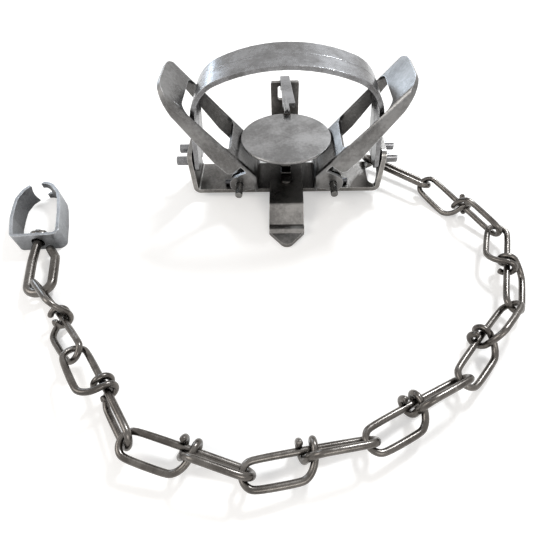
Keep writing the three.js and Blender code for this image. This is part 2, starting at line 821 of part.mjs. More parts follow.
// Dog, curled round the bar over the post's slot and lying on the pan
function dogSolid() {
  const hinge = strapRear - strapThickness / 2;
  const mean = dogEyeInner + dogEyeSheet / 2;
  const curl = [];
  const curlSteps = 14;
  for (let i = 0; i <= curlSteps; i += 1) {
    const turn = Math.PI / 2 - (2 * Math.PI - dogEyeOpen) * (1 - i / curlSteps);
    curl.push(at(hinge + mean * Math.cos(turn), dogHinge + mean * Math.sin(turn)));
  }
  const tipLevel = panTop - (dogTipPlace - panMiddle) * Math.tan(panTilt) + dogTipLift + dogEyeSheet / 2;
  const line = [...curl, at(dogTipPlace, tipLevel)];
  const strip = alongX(stripOutline(line, dogEyeSheet / 2, dogEyeSheet / 2), -dogMidHalf, dogMidHalf);
  const tabLeft = -dogMidHalf + dogTabInset;
  const tabRight = tabLeft + dogTabWidth;
  const plan = roundedOutline([
    at(tabLeft, dogTipPlace),
    at(tabRight, dogTipPlace),
    at(tabRight, dogMidPlace),
    at(dogMidHalf, dogMidPlace),
    at(dogRearHalf, hinge - mean),
    at(dogRearHalf, hinge + 2 * mean),
    at(-dogRearHalf, hinge + 2 * mean),
    at(-dogRearHalf, hinge - mean),
    at(-dogMidHalf, dogMidPlace),
    at(tabLeft, dogMidPlace - dogTabInset),
  ], [seatGap, seatGap, seatGap, seatGap, 0, 0, 0, 0, 0, 0]);
  const tall = [dogHinge - 2 * mean, dogHinge + 4 * mean];
  const plate = strip.intersect(alongZ(plan, ...tall));
  const flankPlan = (inset) => [
    at(-dogMidHalf + inset, dogMidPlace),
    at(dogMidHalf - inset, dogMidPlace),
    at(dogRearHalf - inset, hinge - 2 * mean),
    at(-dogRearHalf + inset, hinge - 2 * mean),
  ];
  const level = (y) => dogHinge + mean + ((tipLevel - dogHinge - mean) * (hinge - y)) / (hinge - dogTipPlace);
  const flankSide = [
    at(dogMidPlace, level(dogMidPlace) - dogFlankDepth),
    at(hinge - 2 * mean, level(hinge - 2 * mean) - dogFlankDepth),
    at(hinge - 2 * mean, level(hinge - 2 * mean)),
    at(dogMidPlace, level(dogMidPlace)),
  ];
  const flanks = alongZ(flankPlan(0), ...tall)
    .subtract(alongZ(flankPlan(dogFlank), ...tall))
    .intersect(alongX(flankSide, -dogMidHalf, dogMidHalf));
  const tabMiddle = (tabLeft + tabRight) / 2;
  const rib = alongX([
    at(dogTipPlace, tipLevel),
    at(dogRibEnd, level(dogRibEnd)),
    at(dogRibEnd, level(dogRibEnd) + dogEyeSheet / 2),
    at(dogRibEnd - dogRibWidth, level(dogRibEnd) + dogEyeSheet / 2 + dogRibHeight),
    at(dogTipPlace, tipLevel + dogEyeSheet / 2 + dogRibHeight),
  ], tabMiddle - dogRibWidth / 2, tabMiddle + dogRibWidth / 2);
  return joined([plate, flanks, rib]);
}

// A closed ring with straight sides, x along it, centred on its middle
function ringLine(length, width) {
  const half = width / 2;
  const reach = length / 2 - half;
  const points = [];
  const steps = 8;
  for (const end of [1, -1]) {
    for (let i = 0; i <= steps; i += 1) {
      const turn = -Math.PI / 2 + (Math.PI * i) / steps;
      const x = end * (reach + half * Math.cos(turn));
      points.push(new THREE.Vector3(x, end * half * Math.sin(turn), 0));
    }
  }
  return points;
}

// Joints of the chain, from the connector to the swivel eye
function chainJoints() {
  const joints = [new THREE.Vector3(chainStartOut, -chainStartFront, floorLevel + jointHeights[0])];
  linkHeadings.forEach((heading, i) => {
    const turn = THREE.MathUtils.degToRad(heading);
    const last = joints[i];
    joints.push(new THREE.Vector3(
      last.x + chainPitch * Math.cos(turn),
      last.y + chainPitch * Math.sin(turn),
      floorLevel + jointHeights[i + 1],
    ));
  });
  return joints;
}

// Half a link's line: its loop, then the strand back to the knot, a wrap and a cut tail
function loopLine(halfLength, roll) {
  const radius = loopWidth / 2;
  const across = (u, w) => [
    u * Math.cos(roll) - w * Math.sin(roll),
    u * Math.sin(roll) + w * Math.cos(roll),
  ];
  const points = [];
  const place = (x, u, w) => {
    const [y, z] = across(u, w);
    points.push(new THREE.Vector3(x, y, z));
  };
  const bendSteps = 6;
  for (let i = 0; i <= bendSteps; i += 1) {
    const turn = -Math.PI / 2 + (Math.PI * i) / bendSteps;
    place(halfLength - radius + radius * Math.cos(turn), radius + radius * Math.sin(turn), 0);
  }
  const touch = Math.acos(knotRadius / loopWidth);
  const meetU = knotRadius * Math.cos(touch);
  const meetW = knotRadius * Math.sin(touch);
  const shoulderSteps = 5;
  const fall = loopWidth - meetU;
  for (let i = 0; i <= shoulderSteps; i += 1) {
    const turn = (Math.PI / 2) * (i / shoulderSteps);
    const share = 1 - Math.cos(turn);
    place(-knotOffset + loopShoulder * (1 - Math.sin(turn)), loopWidth - fall * share, meetW * share);
  }
  const wrapSteps = 8;
  for (let i = 0; i <= wrapSteps; i += 1) {
    const turn = touch + (knotSweep * i) / wrapSteps;
    const x = -knotOffset - (knotLean * i) / wrapSteps;
    place(x, knotRadius * Math.cos(turn), knotRadius * Math.sin(turn));
  }
  const last = touch + knotSweep;
  place(
    -knotOffset - knotLean,
    knotRadius * Math.cos(last) - knotTail * Math.sin(last),
    knotRadius * Math.sin(last) + knotTail * Math.cos(last),
  );
  return points;
}

// A whole link, x along its core, first loop at -x; the two halves are alike but turned round
function linkLine(length, firstRoll, secondRoll) {
  const half = length / 2;
  const second = loopLine(half, secondRoll);
  const first = loopLine(half, Math.PI - firstRoll)
    .map((point) => new THREE.Vector3(-point.x, -point.y, point.z));
  return [...first.reverse(), ...second];
}

// How far a loop moves sideways to lie round its neighbour's wire where the chain bends
function bendShift(heading, other, roll) {
  const sideways = other.clone().addScaledVector(heading, -other.dot(heading));
  return sideways.multiplyScalar(((chainWire + chainPlay) / 2) * Math.cos(roll) ** 2);
}

// Where a link lies between two joints: its loops' middles sit on the joints
function linkPlace(index, firstRoll, secondRoll) {
  const [from, to] = [joints[index], joints[index + 1]];
  const up = new THREE.Vector3(0, 0, 1);
  const headings = [index - 1, index, index + 1].map((i) => {
    const turn = i < 0 ? away.angleTo(new THREE.Vector3(1, 0, 0)) * Math.sign(away.y) : headingTurn(i);
    return new THREE.Vector3(Math.cos(turn), Math.sin(turn), 0);
  });
  const [before, heading, after] = headings;
  const left = up.clone().cross(heading);
  const shift = (roll) => left.clone().multiplyScalar(Math.cos(roll)).addScaledVector(up, Math.sin(roll));
  const start = from.clone().addScaledVector(shift(firstRoll), -loopWidth / 2);
  const end = to.clone().addScaledVector(shift(secondRoll), -loopWidth / 2);
  start.add(bendShift(heading, before, firstRoll));
  end.sub(bendShift(heading, after, secondRoll));
  const core = end.clone().sub(start);
  const along = core.normalize();
  start.addScaledVector(along, -(chainWire + jointPlays[index]) / 2);
  end.addScaledVector(along, (chainWire + jointPlays[index + 1]) / 2);
  const length = end.distanceTo(start);
  const side = up.clone().cross(along).normalize();
  const top = along.clone().cross(side);
  const matrix = new THREE.Matrix4().makeBasis(along, side, top);
  matrix.setPosition(start.add(end).multiplyScalar(0.5));
  return { matrix, length };
}

function headingTurn(index) {
  return index < linkHeadings.length ? THREE.MathUtils.degToRad(linkHeadings[index]) : eyeHeading;
}

// Swivel eye: stem through the bracket, then an eye of thick wire whose tail ends before the web
function eyeLine() {
  const half = eyeWidth / 2;
  const far = -(eyeWire + jointPlays[jointPlays.length - 1]) / 2;
  const lean = (x, y) => at(x, y).rotateAround(at(0, 0), eyeLean);
  const neck = stemReach - eyeNeck;
  return roundedLine([
    at(stemReach + bracketSheet + headHeight / 2, stemOffset),
    at(stemReach - stemStraight, stemOffset),
    lean(neck, half),
    lean(far, half),
    lean(far, -half),
    lean(neck, -half),
    lean(stemReach - tailGap, -half + eyeTaper),
  ], [0, eyeWire, half, half, half, half, 0]);
}

function eyeSolid() {
  const points = eyeLine().map((point) => new THREE.Vector3(point.x, point.y, 0));
  const wire = solidOf(wireGeometry(points, eyeWire / 2, 8));
  const top = stemReach + bracketSheet + seatGap;
  return joined([
    wire,
    alongX(circleOutline(stemOffset, 0, headRadius), top, top + headHeight / 2),
    alongX(circleOutline(stemOffset, 0, headRadius - headHeight / 3), top, top + headHeight),
  ]);
}

// Swivel bracket: a strip on edge, bent to a web and two wings that curl in
function bracketSolid() {
  const half = bracketWeb / 2;
  const wing = (shares) => shares.map(([out, across]) => at(out * bracketReach, across * half));
  const right = wing(rightWingShares);
  const left = wing(leftWingShares);
  const corners = [...right, at(0, -half), at(0, half), ...left];
  const bends = corners.map((corner, i) => {
    const isWeb = i === right.length || i === right.length + 1;
    return isWeb ? bracketBend : 2 * bracketBend;
  });
  const middle = bracketSheet / 2;
  const strip = alongZ(
    stripOutline(roundedLine(corners, bends), middle, middle),
    -bracketHeight / 2,
    bracketHeight / 2,
  );
  const hole = alongX(circleOutline(0, 0, bracketHoleRadius), -overrun, overrun);
  const notch = alongX(
    boxOutline(
      right[0].y - wingNotchDepth,
      -wingNotchRadius,
      right[0].y + overrun,
      wingNotchRadius,
      [wingNotchRadius, 0, 0, wingNotchRadius],
    ),
    right[0].x - overrun,
    right[0].x + overrun,
  );
  const tip = left[left.length - 1];
  const tipTurn = tip.clone().sub(left[left.length - 2]).angle();
  const hollow = prism(
    circleOutline(wingHollowRadius - wingHollowDepth, 0, wingHollowRadius, 2 * rodSides),
    2 * overrun,
    new THREE.Matrix4().makeRotationX(Math.PI / 2).setPosition(0, overrun, 0),
    new THREE.Matrix4().makeRotationZ(tipTurn).setPosition(tip.x, tip.y, 0),
  );
  return cut(strip, [hole, notch, hollow]);
}

// Frame and its fixed pieces
addMesh('base_plate', geometryOf(basePlate()), steel);
addMesh('cross_strap', geometryOf(crossStrap()), steel);
addMesh('strap_rivet_front', geometryOf(rivet(-1)), brightSteel);
addMesh('strap_rivet_rear', geometryOf(rivet(1)), brightSteel);

// Jaws
addMesh('jaw_front', geometryOf(jaw(-1)), brightSteel);
addMesh('jaw_rear', geometryOf(jaw(1)), brightSteel);

// Levers, pins and springs, one of each at either side
const lever = leverSolid();
for (const [side, hand] of [['left', -1], ['right', 1]]) {
  const pinFrame = new THREE.Group();
  pinFrame.position.set(hand * pinPlace, 0, pinHeight);
  trap.add(pinFrame);
  const leverFrame = new THREE.Group();
  leverFrame.rotation.z = hand > 0 ? 0 : Math.PI;
  pinFrame.add(leverFrame);
  const sheet = addMesh(`lever_${side}`, geometryOf(lever), steel, leverFrame);
  sheet.rotation.y = -leverRise;
  addMesh(`spring_pin_${side}`, geometryOf(springPin()), springSteel, pinFrame);
  const line = springLine(hand);
  const spring = wireGeometry(line, springWire / 2, springSides);
  addMesh(`coil_spring_${side}`, geometryOf(solidOf(spring)), springSteel, pinFrame);
  console.log(`coil_spring_${side} least gap ${leastGap(line, springWire).toFixed(2)} mm`);
}

// Pan and what carries it
const pan = addMesh('pan', geometryOf(panDisc()), steel);
pan.position.set(0, panMiddle, panTop);
pan.rotation.x = -panTilt;
addMesh('pan_shank', geometryOf(panShank()), steel);
addMesh('pan_post', geometryOf(panPost()), steel);
addMesh('pan_pin', geometryOf(panPin()), brightSteel);

// Dog, turned a little to the chain side about the post
const dogFrame = new THREE.Group();
dogFrame.position.set(0, strapRear - strapThickness / 2, 0);
dogFrame.rotation.z = dogYaw;
trap.add(dogFrame);
const dog = addMesh('dog', geometryOf(dogSolid()), brightSteel, dogFrame);
dog.position.y = -dogFrame.position.y;

// Connector round the strip of plate behind the chain hole
const joints = chainJoints();
const strip = new THREE.Vector3(
  postOuter - baseThickness / 2,
  (chainHoleRear + baseWidth / 2) / 2,
  connectorRise,
);
const away = new THREE.Vector3(joints[0].x - strip.x, joints[0].y - strip.y, 0).normalize();
const innerEnd = strip.clone().addScaledVector(away, -connectorInset);
const outerEnd = joints[0].clone().addScaledVector(away, (connectorWire + chainPlay) / 2);
const run = outerEnd.clone().sub(innerEnd);
const connectorLine = ringLine(run.length(), connectorWidth);
const connector = addMesh(
  'connector',
  geometryOf(solidOf(wireGeometry(connectorLine, connectorWire / 2, wireSides, true))),
  chainSteel,
);
const runDirection = run.clone().normalize();
const runSide = new THREE.Vector3(0, 0, 1).cross(runDirection).normalize();
const runFrame = new THREE.Matrix4().makeBasis(runDirection, runSide, runDirection.clone().cross(runSide));
connector.applyMatrix4(runFrame.multiply(new THREE.Matrix4().makeRotationX(connectorRoll)));
connector.position.copy(innerEnd.add(outerEnd).multiplyScalar(0.5));

// Chain links
linkRolls.forEach((rolls, i) => {
  const [firstRoll, secondRoll] = rolls.map((roll) => THREE.MathUtils.degToRad(roll));
  const { matrix, length } = linkPlace(i, firstRoll, secondRoll);
  const line = linkLine(length, firstRoll, secondRoll);
  const name = `chain_link_${i + 1}`;
  const link = addMesh(name, geometryOf(solidOf(wireGeometry(line, chainWire / 2, wireSides))), chainSteel);
  link.applyMatrix4(matrix);
  console.log(`${name} least gap ${leastGap(line, chainWire).toFixed(2)} mm`);
});

// Swivel, in a frame at the last joint with x along the stem
const swivel = new THREE.Group();
swivel.position.copy(joints[joints.length - 1]).setZ(floorLevel + eyeLift);
swivel.rotation.order = 'ZYX';
swivel.rotation.z = eyeHeading;
swivel.rotation.y = Math.atan2(eyeLift - bracketHeight / 2, stemReach);
trap.add(swivel);
addMesh('swivel_eye', geometryOf(eyeSolid()), chainSteel, swivel);
const bracket = addMesh('swivel_bracket', geometryOf(bracketSolid()), zincSteel, swivel);
bracket.position.set(stemReach + bracketSheet / 2, stemOffset, 0);
bracket.rotation.y = -swivel.rotation.y;

export { joints };
export default trap;
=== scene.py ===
"""A small coil spring trap, sprung and closed, with its chain and swivel end.

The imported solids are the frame. Each one is dressed here: the sheet metal gets
its broken edges and smooth bends, the wires get round sections, the springs are
wound again with fine turns, and every surface gets its steel.
"""

import math

import bpy
from mathutils import Matrix, Vector


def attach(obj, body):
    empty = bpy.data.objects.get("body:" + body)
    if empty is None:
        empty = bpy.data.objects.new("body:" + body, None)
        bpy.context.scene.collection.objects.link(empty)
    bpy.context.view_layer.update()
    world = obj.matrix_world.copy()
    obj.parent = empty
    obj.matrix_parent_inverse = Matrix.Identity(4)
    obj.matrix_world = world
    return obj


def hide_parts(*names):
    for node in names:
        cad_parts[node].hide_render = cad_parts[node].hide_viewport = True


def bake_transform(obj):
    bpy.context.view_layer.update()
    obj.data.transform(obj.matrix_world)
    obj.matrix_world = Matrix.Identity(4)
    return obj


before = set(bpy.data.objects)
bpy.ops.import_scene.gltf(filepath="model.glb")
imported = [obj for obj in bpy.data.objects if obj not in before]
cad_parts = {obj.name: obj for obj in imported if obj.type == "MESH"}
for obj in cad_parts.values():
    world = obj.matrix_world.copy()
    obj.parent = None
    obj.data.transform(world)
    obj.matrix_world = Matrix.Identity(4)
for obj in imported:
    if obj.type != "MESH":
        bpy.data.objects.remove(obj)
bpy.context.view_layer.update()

MM = 0.001
JOIN_DISTANCE = 0.001 * MM
CHAIN_LINKS = 8

# The photographer's camera, in the part's frame and in pixels of the photograph
PHOTO_SIDE = 540
CAMERA_PLACE = Vector((-2.4, -186.1, 153.9)) * MM
CAMERA_DOWN = math.radians(53.0)
CAMERA_YAW = math.radians(-2.7)
CAMERA_ROLL = math.radians(-2.6)
CAMERA_NEAR = 5 * MM
CAMERA_FAR = 20
FOCAL_PIXELS = 381
SENSOR_WIDTH = 36
VIEW_MIDDLE = (271.9, 269.7)

# The floor, at the level of the strap's soles
FLOOR_HEIGHT = -3.4 * MM
FLOOR_GAP = 0.05 * MM
FLOOR_SIZE = 1.8
FLOOR_PAINT = (0.8, 0.77, 0.735, 1.0)
FLOOR_GLOW = 0.36
FLOOR_FADE_START = 0.35
FLOOR_FADE_END = 0.75

WHITE = (1.0, 1.0, 1.0, 1.0)
SKY_COLOUR = (0.93, 0.96, 1.0, 1.0)
SKY_STRENGTH = 0.45


# ---------------------------------------------------------------- selecting

def select_only(piece):
    """Leaves one piece selected and active."""
    bpy.ops.object.select_all(action="DESELECT")
    piece.select_set(True)
    bpy.context.view_layer.objects.active = piece


def edit(piece):
    """Opens a piece in edit mode with everything selected."""
    select_only(piece)
    bpy.ops.object.mode_set(mode="EDIT")
    bpy.ops.mesh.select_mode(type="VERT")
    bpy.ops.mesh.select_all(action="SELECT")


def close_edit():
    bpy.ops.object.mode_set(mode="OBJECT")


def apply_modifier(piece, name):
    select_only(piece)
    bpy.ops.object.modifier_apply(modifier=name)


# ---------------------------------------------------------------- materials

class Reading:
    """A value that changes over a surface; sums on it add Math nodes."""

    def __init__(self, builder, socket):
        self.builder = builder
        self.socket = socket

    def sum(self, operation, first, second):
        return self.builder.add(
            "ShaderNodeMath", {"operation": operation}, {0: first, 1: second})

    def __add__(self, other):
        return self.sum("ADD", self, other)

    def __radd__(self, other):
        return self.sum("ADD", other, self)

    def __sub__(self, other):
        return self.sum("SUBTRACT", self, other)

    def __rsub__(self, other):
        return self.sum("SUBTRACT", other, self)

    def __mul__(self, other):
        return self.sum("MULTIPLY", self, other)

    def __rmul__(self, other):
        return self.sum("MULTIPLY", other, self)

    def ramp(self, low, high):
        """0 at low, 1 at high, smooth between and level beyond them."""
        return self.builder.add(
            "ShaderNodeMapRange",
            {"interpolation_type": "SMOOTHSTEP"},
            {0: self, 1: low, 2: high, 3: 0.0, 4: 1.0},
        )


class Builder:
    """Adds nodes to one tree, with their settings and inputs."""

    def __init__(self, tree):
        self.tree = tree
        tree.nodes.clear()

    def add(self, kind, settings=None, inputs=None, output=0):
        node = self.tree.nodes.new(kind)
        for setting, value in (settings or {}).items():
            setattr(node, setting, value)
        for key, value in (inputs or {}).items():
            if isinstance(value, Reading):
                self.tree.links.new(value.socket, node.inputs[key])
            else:
                node.inputs[key].default_value = value
        return Reading(self, node.outputs[output])

    def ray(self, kind):
        """1 for one kind of ray, 0 for the others."""
        return self.add("ShaderNodeLightPath", output=f"Is {kind} Ray")

    def either(self, first, second):
        return self.add("ShaderNodeMath", {"operation": "MAXIMUM"}, {0: first, 1: second})

    def end(self, kind, shader):
        """Closes the tree with its output node."""
        output = self.tree.nodes.new(kind)
        self.tree.links.new(shader.socket, output.inputs["Surface"])


class Finish(Builder):
    """One material under construction, on object coordinates."""

    def __init__(self, name):
        self.material = bpy.data.materials.new(name)
        self.material.use_nodes = True
        super().__init__(self.material.node_tree)
        self.place = self.add("ShaderNodeTexCoord", output="Object")

    def stretched(self, along):
        """The place, scaled apart along each axis, for streaked patterns."""
        return self.add(
            "ShaderNodeVectorMath", {"operation": "MULTIPLY"}, {0: self.place, 1: along})

    def cloud(self, scale, detail=3.0, roughness=0.55, place=None):
        return self.add("ShaderNodeTexNoise", None, {
            "Vector": place or self.place,
            "Scale": scale,
            "Detail": detail,
            "Roughness": roughness,
        })

    def cells(self, scale):
        return self.add(
            "ShaderNodeTexVoronoi",
            {"feature": "F1"},
            {"Vector": self.place, "Scale": scale},
            "Distance",
        )

    def blend(self, share, first, second):
        """The second colour over the first, by the share."""
        first, second = (
            colour if isinstance(colour, Reading) else (*colour, 1.0)
            for colour in (first, second)
        )
        return self.add(
            "ShaderNodeMix", {"data_type": "RGBA"}, {0: share, 6: first, 7: second}, 2)

    def edges(self, radius):
        """1 on edges sharper than the radius, 0 on flat faces."""
        rounded = self.add("ShaderNodeBevel", {"samples": 4}, {"Radius": radius})
        flat = self.add("ShaderNodeNewGeometry", output="Normal")
        turned = self.add(
            "ShaderNodeVectorMath", {"operation": "DOT_PRODUCT"}, {0: rounded, 1: flat}, "Value")
        return (1.0 - turned).ramp(low=0.02, high=0.3)

    def occlusion_shade(self, reach):
        """How much light nearby pieces shut out: 0 in the open, towards 1 in corners and under
        other pieces; it paints shade into colours.
        """
        openness = self.add(
            "ShaderNodeAmbientOcclusion", {"samples": 4}, {"Distance": reach}, "AO")
        return 1.0 - openness

    def bumps(self, height, distance, strength, under=None):
        """Relief in the surface's normal, over the relief that is there already."""
        inputs = {"Height": height, "Distance": distance, "Strength": strength}
        if under:
            inputs["Normal"] = under
        return self.add("ShaderNodeBump", None, inputs)

    def steel(self, colour, roughness, normal):
        shader = self.add("ShaderNodeBsdfPrincipled", None, {
            "Base Color": colour,
            "Roughness": roughness,
            "Metallic": 1.0,
            "Normal": normal,
        })
        self.end("ShaderNodeOutputMaterial", shader)
        return self.material


def darker(colour, share):
    return tuple(share * part for part in colour)


def tumbled_steel(name, dark, light, bright, roughness, pitting=1.0):
    """Bare steel after tumbling: clouded grey, fine pits, rubbed edges, and painted shade in
    corners and under other pieces.
    """
    finish = Finish(name)
    broad = finish.cloud(scale=34, detail=2, roughness=0.5)
    patches = finish.cloud(scale=95, detail=4)
    mottle = finish.cloud(scale=620, detail=5, roughness=0.65)
    grain = finish.cloud(scale=3800, detail=3, roughness=0.6)
    pit_fields = finish.cloud(scale=240, detail=2).ramp(low=0.5, high=0.62)
    pits = finish.cells(scale=950).ramp(low=0.17, high=0.05) * pit_fields
    streaks = finish.stretched((1.0, 9.0, 6.0))
    scratches = finish.cloud(scale=260, detail=4, roughness=0.7, place=streaks)
    rubbed = finish.edges(radius=0.7 * MM)
    # Masks for painted shade, from how much light nearby pieces shut out
    corner_shade = finish.occlusion_shade(reach=7 * MM).ramp(low=0.25, high=0.95)
    shelter_shade = finish.occlusion_shade(reach=32 * MM).ramp(low=0.34, high=0.72)

    tone = (patches * 0.35 + mottle * 0.3 + broad * 0.35).ramp(low=0.4, high=0.6)
    colour = finish.blend(tone, dark, light)
    colour = finish.blend(rubbed * 0.85, colour, bright)
    colour = finish.blend(pits * 0.55 * pitting, colour, darker(dark, 0.35))
    # Painted shade: darker in corners and creases, and darker still where other pieces shut out
    # the light
    colour = finish.blend(corner_shade * 0.6, colour, darker(dark, 0.25))
    colour = finish.blend(shelter_shade * 0.9, colour, darker(dark, 0.1))

    gloss = roughness + (patches - 0.5) * 0.22 + (grain - 0.5) * 0.16
    gloss = gloss - rubbed * 0.08 + pits * 0.2
    relief = finish.bumps(mottle * 0.6 + grain * 0.4, distance=0.05 * MM, strength=0.45)
    relief = finish.bumps(scratches, distance=0.03 * MM, strength=0.3, under=relief)
    relief = finish.bumps(1.0 - pits * pitting, distance=0.08 * MM, strength=0.6, under=relief)
    return finish.steel(colour, gloss, relief)


def wire_steel(name, dark, light, bright, roughness):
    """Drawn wire with a dark scale, worn bright in patches, and painted shade in its corners."""
    finish = Finish(name)
    patches = finish.cloud(scale=130, detail=4)
    mottle = finish.cloud(scale=700, detail=3, roughness=0.55)
    grain = finish.cloud(scale=4200, detail=2, roughness=0.6)
    worn_fields = finish.cloud(scale=210, detail=3).ramp(low=0.55, high=0.75)
    worn = worn_fields * mottle.ramp(low=0.4, high=0.6)
    corner_shade = finish.occlusion_shade(reach=5 * MM).ramp(low=0.25, high=0.95)

    colour = finish.blend(patches.ramp(low=0.35, high=0.65), dark, light)
    colour = finish.blend(worn * 0.4, colour, bright)
    # Painted shade: darker where nearby wire or pieces shut out the light
    colour = finish.blend(corner_shade * 0.75, colour, darker(dark, 0.25))
    gloss = roughness + (mottle - 0.5) * 0.25 + (patches - 0.5) * 0.12
    relief = finish.bumps(mottle * 0.7 + grain * 0.3, distance=0.04 * MM, strength=0.3)
    return finish.steel(colour, gloss, relief)


FRAME_STEEL = tumbled_steel(
    "frame_steel",
    dark=(0.16, 0.152, 0.144), light=(0.3, 0.287, 0.272), bright=(0.74, 0.72, 0.69),
    roughness=0.32,
)
LEVER_STEEL = tumbled_steel(
    "lever_steel",
    dark=(0.13, 0.126, 0.122), light=(0.24, 0.235, 0.23), bright=(0.68, 0.68, 0.69),
    roughness=0.3,
)
JAW_STEEL = tumbled_steel(
    "jaw_steel",
    dark=(0.13, 0.127, 0.126), light=(0.27, 0.27, 0.277), bright=(0.74, 0.75, 0.77),
    roughness=0.26, pitting=0.5,
)
PAN_STEEL = tumbled_steel(
    "pan_steel",
    dark=(0.16, 0.156, 0.153), light=(0.28, 0.274, 0.27), bright=(0.8, 0.79, 0.78),
    roughness=0.36, pitting=1.6,
)
DOG_STEEL = tumbled_steel(
    "dog_steel",
    dark=(0.19, 0.188, 0.19), light=(0.31, 0.308, 0.312), bright=(0.7, 0.7, 0.7),
    roughness=0.3, pitting=0.5,
)
DARK_STEEL = wire_steel(
    "dark_spring_steel",
    dark=(0.035, 0.036, 0.04), light=(0.085, 0.085, 0.09), bright=(0.24, 0.24, 0.25),
    roughness=0.3,
)
CHAIN_STEEL = wire_steel(
    "chain_steel",
    dark=(0.085, 0.077, 0.07), light=(0.14, 0.129, 0.118), bright=(0.32, 0.3, 0.28),
    roughness=0.27,
)
PIN_STEEL = wire_steel(
    "pin_steel",
    dark=(0.1, 0.098, 0.095), light=(0.2, 0.197, 0.19), bright=(0.48, 0.47, 0.46),
    roughness=0.26,
)
BRACKET_STEEL = tumbled_steel(
    "bracket_steel",
    dark=(0.23, 0.235, 0.245), light=(0.35, 0.36, 0.375), bright=(0.6, 0.61, 0.62),
    roughness=0.42, pitting=0.8,
)


# ---------------------------------------------------------------- pieces

FLAT_ANGLE = math.radians(0.6)
BROKEN_ANGLE = math.radians(33)
BEND_ANGLE = math.radians(38)
BROKEN_STEPS = 3
QUAD_FACE_ANGLE = math.radians(60)
QUAD_SHAPE_ANGLE = math.radians(80)
ROUND_LEVELS = 2


def node_copy(node, name):
    """A CAD node's mesh as a piece of its own, its loose triangles joined."""
    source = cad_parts[node]
    piece = bpy.data.objects.new(name, source.data.copy())
    piece.data.materials.clear()
    bpy.context.scene.collection.objects.link(piece)
    select_only(piece)
    bpy.ops.mesh.customdata_custom_splitnormals_clear()
    edit(piece)
    bpy.ops.mesh.remove_doubles(threshold=JOIN_DISTANCE)
    close_edit()
    return piece


def fit(piece, node, body, material):
    """The piece stands for its node, moves with its body and takes its finish."""
    piece.data.materials.append(material)
    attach(piece, body)
    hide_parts(node)
    return piece


def sheet_piece(node, name, body, material, edge=0.35):
    """Sheet metal: flat faces made whole, edges broken, bends smooth."""
    piece = node_copy(node, name)
    edit(piece)
    bpy.ops.mesh.dissolve_limited(angle_limit=FLAT_ANGLE)
    close_edit()
    broken = piece.modifiers.new("broken_edge", "BEVEL")
    broken.width = edge * MM
    broken.segments = BROKEN_STEPS
    broken.limit_method = "ANGLE"
    broken.angle_limit = BROKEN_ANGLE
    broken.use_clamp_overlap = True
    apply_modifier(piece, broken.name)
    bpy.ops.object.shade_smooth_by_angle(angle=BEND_ANGLE)
    weighted = piece.modifiers.new("even_normals", "WEIGHTED_NORMAL")
    weighted.keep_sharp = True
    apply_modifier(piece, weighted.name)
    return fit(piece, node, body, material)


def wire_piece(node, name, body, material, swell):
    """Bent wire: the facets of its section are rounded off by subdivision.

    Subdivision draws the wire in, and the swell makes up for that.
    """
    piece = node_copy(node, name)
    edit(piece)
    bpy.ops.mesh.tris_convert_to_quads(
        face_threshold=QUAD_FACE_ANGLE, shape_threshold=QUAD_SHAPE_ANGLE)
    bpy.ops.transform.shrink_fatten(value=swell * MM)
    close_edit()
    round_off = piece.modifiers.new("round_section", "SUBSURF")
    round_off.levels = ROUND_LEVELS
    round_off.render_levels = ROUND_LEVELS
    apply_modifier(piece, round_off.name)
    bpy.ops.object.shade_smooth()
    return fit(piece, node, body, material)


sheet_piece("base_plate", "plate_base", "frame", FRAME_STEEL)
sheet_piece("cross_strap", "plate_strap", "frame", FRAME_STEEL)
for end in ("front", "rear"):
    sheet_piece(
        f"strap_rivet_{end}", f"rivet_{end}", "frame", FRAME_STEEL, edge=0.5)
    sheet_piece(
        f"jaw_{end}", f"bow_{end}", f"jaw_{end}", JAW_STEEL, edge=0.4)
for side in ("left", "right"):
    sheet_piece(f"lever_{side}", f"arm_{side}", f"lever_{side}", LEVER_STEEL)
    sheet_piece(
        f"spring_pin_{side}", f"pin_{side}", "frame", PIN_STEEL, edge=0.4)
sheet_piece("pan", "pan_plate", "pan", PAN_STEEL)
sheet_piece("pan_shank", "pan_strip", "pan", FRAME_STEEL)
sheet_piece("pan_post", "pan_stand", "frame", FRAME_STEEL)
sheet_piece("pan_pin", "pan_pivot", "frame", FRAME_STEEL)
sheet_piece("dog", "dog_plate", "dog", DOG_STEEL, edge=0.25)
sheet_piece(
    "swivel_bracket", "bracket_strip", "swivel_bracket", BRACKET_STEEL, edge=0.3)
wire_piece(
    "connector", "connector_ring", "connector", CHAIN_STEEL, swell=0.18)
for number in range(1, CHAIN_LINKS + 1):
    wire_piece(
        f"chain_link_{number}", f"link_{number}", f"link_{number}",
        CHAIN_STEEL, swell=0.18)
wire_piece("swivel_eye", "eye_wire", "swivel_eye", CHAIN_STEEL, swell=0.05)


# ---------------------------------------------------------------- springs

# In millimetres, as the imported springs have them
PIN_PLACE = 26.5
PIN_HEIGHT = 9.9
LEVER_RISE = math.radians(50.65)
SPRING_WIRE = 3.1
SPRING_MEAN = 4.2
SPRING_PITCH = 3.5
SPRING_TURNS = 4
PART_TURN = 0.36
SPRING_STEPS = 28
SPRING_HALF = SPRING_PITCH * (SPRING_TURNS + PART_TURN) / 2
BASE_LEG = 9.5
LEVER_LEG = 16
LEVER_LIFT = 6.7
PLATE_THICKNESS = 2.6
SEAT_GAP = 0.3
WIRE_ROUNDNESS = 5
WIRE_END_ANGLE = math.radians(50)


